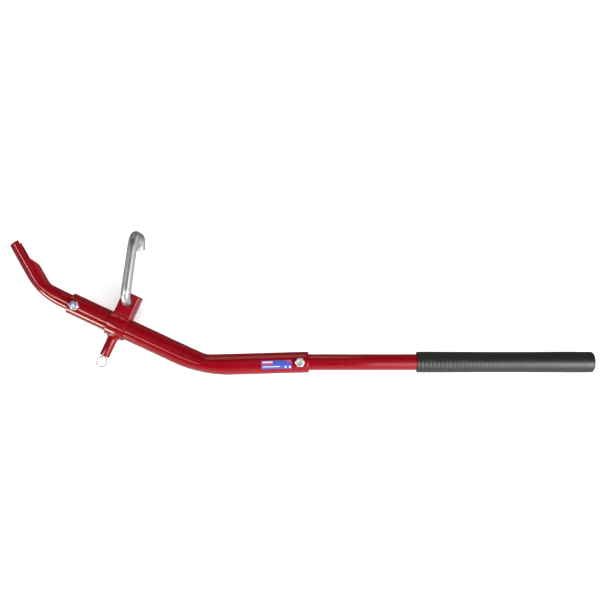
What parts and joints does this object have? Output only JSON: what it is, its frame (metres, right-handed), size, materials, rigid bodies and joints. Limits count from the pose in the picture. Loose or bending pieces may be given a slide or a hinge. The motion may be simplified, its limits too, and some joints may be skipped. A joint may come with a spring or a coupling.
{
  "type": "suspension arm lever",
  "caption": "Bent tube lever for suspension arms, with a trough toe, a long rubber grip, and a swinging bar hook on a collar locked by a spring plunger.",
  "frame": {"origin": "middle of the underside of the whole tool's box, the tool lying on its side", "axes": "+X along the handle to the grip's end, +Y to the hook's side, +Z square to the plane in which the lever is bent, up as it lies"},
  "size_m": [1.1642, 0.2844, 0.094],
  "materials": {
    "red_paint": "gloss powder coat",
    "galvanised_steel": "plated bar, semi-bright with a dull bend",
    "zinc": "bright zinc plate",
    "black_rubber": "soft ribbed rubber, satin",
    "blue_nylon": "moulded nylon",
    "blue_vinyl": "printed vinyl sticker with plain blocks",
    "spring_steel": "oiled spring wire"
  },
  "bodies": {
    "lever": {"lever_tube": "red_paint", "toe_tube": "red_paint", "toe_bolt": "zinc", "toe_nut": "zinc", "toe_nut_insert": "blue_nylon", "handle_tube": "red_paint", "handle_bolt": "zinc", "handle_nut": "zinc", "handle_nut_insert": "blue_nylon", "handle_grip": "black_rubber", "label": "blue_vinyl"},
    "collar": {"collar_sleeve": "red_paint", "hook_bracket": "red_paint", "bracket_weld_front": "red_paint", "bracket_weld_back": "red_paint", "plunger_barrel": "red_paint", "barrel_weld": "red_paint", "plunger_bush": "zinc", "plunger_spring": "spring_steel"},
    "hook": {"hook": "galvanised_steel", "hook_washer": "zinc", "hook_split_pin": "zinc"},
    "plunger": {"plunger_pin": "zinc"},
    "ring": {"pull_ring": "zinc"}
  },
  "joints": [
    {"name": "collar_slide", "type": "slide", "parent": "lever", "child": "collar", "axis": [0.9059, -0.4234, 0], "range_m": [-0.058, 0.112]},
    {"name": "hook_swing", "type": "hinge", "parent": "collar", "child": "hook", "pos_m": [-0.34502, 0.00313, 0.04251], "axis": [0, 0, 1], "range_deg": [-98, 70]},
    {"name": "plunger_pull", "type": "slide", "parent": "collar", "child": "plunger", "axis": [-0.4234, -0.9059, 0], "range_m": [0, 0.008], "stiffness_N_per_m": 1500, "springref_m": -0.006, "deforming": ["plunger_spring"]},
    {"name": "ring_swing", "type": "hinge", "parent": "plunger", "child": "ring", "pos_m": [-0.39563, -0.10657, 0.04251], "axis": [0.9059, -0.4234, 0], "range_deg": [-90, 90]}
  ]
}
